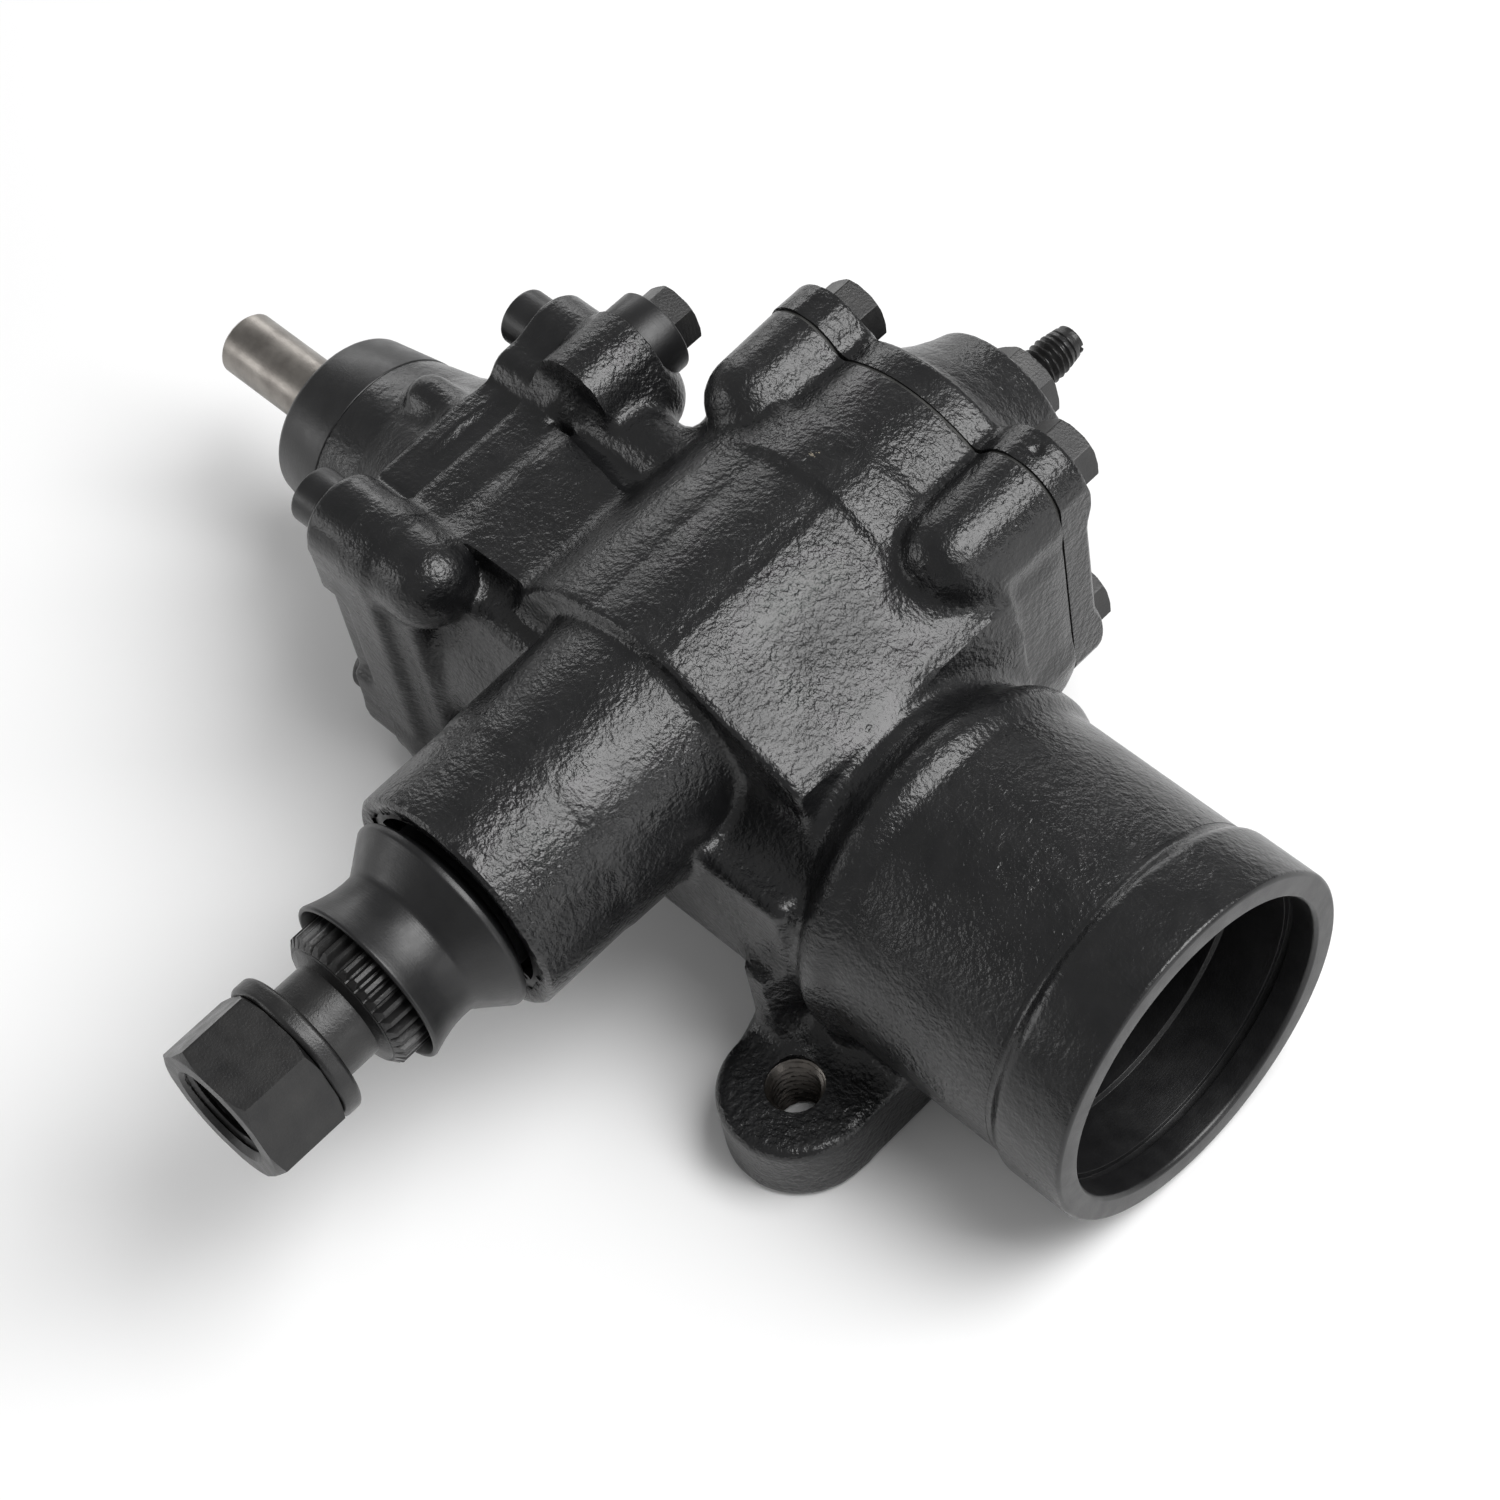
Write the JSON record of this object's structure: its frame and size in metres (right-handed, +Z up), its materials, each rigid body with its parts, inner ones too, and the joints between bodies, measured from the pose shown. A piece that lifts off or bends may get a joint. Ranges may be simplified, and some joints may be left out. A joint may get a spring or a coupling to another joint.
{
  "type": "power steering worm gearbox",
  "caption": "Cast worm gearbox with a splined cross shaft, hex nut and dust boot, a slim input shaft, a bolted side cover with adjuster, an open cylinder mouth and a tapped mounting ear.",
  "frame": {"origin": "on the mounting plane, straight below the point where the main bore axis passes under the sector shaft axis", "axes": "+X along the main bore towards its open mouth (the input shaft points to -X), +Y towards the side cover (the output nut points to -Y), +Z up from the mounting plane"},
  "size_m": [0.3094, 0.2672, 0.1051],
  "materials": {
    "casting_paint": "gloss black paint over rough sand-cast iron",
    "satin_black": "satin black, machined surface under thin paint",
    "black_oxide": "black oxide steel, light edge wear",
    "bright_steel": "ground steel",
    "oiled_steel": "oiled dark machined steel",
    "ball_steel": "polished bearing steel",
    "bearing_bronze": "bronze backed bearing",
    "seal_rubber": "black nitrile rubber",
    "ptfe": "filled PTFE",
    "gasket_sheet": "composite gasket sheet"
  },
  "bodies": {
    "housing": {"main_housing": "casting_paint", "valve_housing": "casting_paint", "valve_housing_seal": "seal_rubber", "valve_housing_bolts": "satin_black", "input_cap": "satin_black", "input_seal": "seal_rubber", "input_bearing": "bearing_bronze", "worm_thrust_bearing": "ball_steel", "sector_bearing": "bearing_bronze", "sector_seal": "seal_rubber", "sector_snap_ring": "black_oxide", "side_cover": "casting_paint", "side_cover_gasket": "gasket_sheet", "side_cover_bolts": "black_oxide", "cover_bushing": "bearing_bronze", "adjuster_screw": "black_oxide", "adjuster_lock_nut": "black_oxide", "end_plug": "satin_black", "end_plug_seal": "seal_rubber", "end_plug_ring": "black_oxide", "port_seats": "satin_black", "port_plugs": "black_oxide"},
    "sector": {"sector_shaft": "oiled_steel", "pitman_nut": "black_oxide", "lock_washer": "black_oxide", "dust_boot": "satin_black"},
    "rack": {"rack_piston": "oiled_steel", "recirculating_balls": "ball_steel", "ball_return_tube": "oiled_steel", "piston_ring": "ptfe"},
    "worm": {"worm_shaft": "oiled_steel", "valve_sleeve": "oiled_steel", "valve_sleeve_rings": "ptfe", "worm_drive_pin": "oiled_steel"},
    "input": {"input_shaft": "bright_steel", "torsion_bar": "oiled_steel"}
  },
  "joints": [
    {"name": "sector_turn", "type": "hinge", "parent": "housing", "child": "sector", "pos_m": [0, 0, 0.0706], "axis": [0, 1, 0], "range_deg": [-42, 42]},
    {"name": "rack_slide", "type": "slide", "parent": "housing", "child": "rack", "axis": [1, 0, 0], "range_m": [-0.0133, 0.0133]},
    {"name": "worm_spin", "type": "hinge", "parent": "housing", "child": "worm", "pos_m": [-0.06, 0, 0.046], "axis": [1, 0, 0], "range_deg": [-596, 596]},
    {"name": "valve_twist", "type": "hinge", "parent": "worm", "child": "input", "pos_m": [-0.1, 0, 0.046], "axis": [1, 0, 0], "range_deg": [-5, 5], "stiffness_Nm_per_rad": 60}
  ],
  "couplings": [
    {"joint": "rack_slide", "follows": "sector_turn", "m_per_rad": -0.018},
    {"joint": "worm_spin", "follows": "sector_turn", "ratio": 14.137}
  ]
}
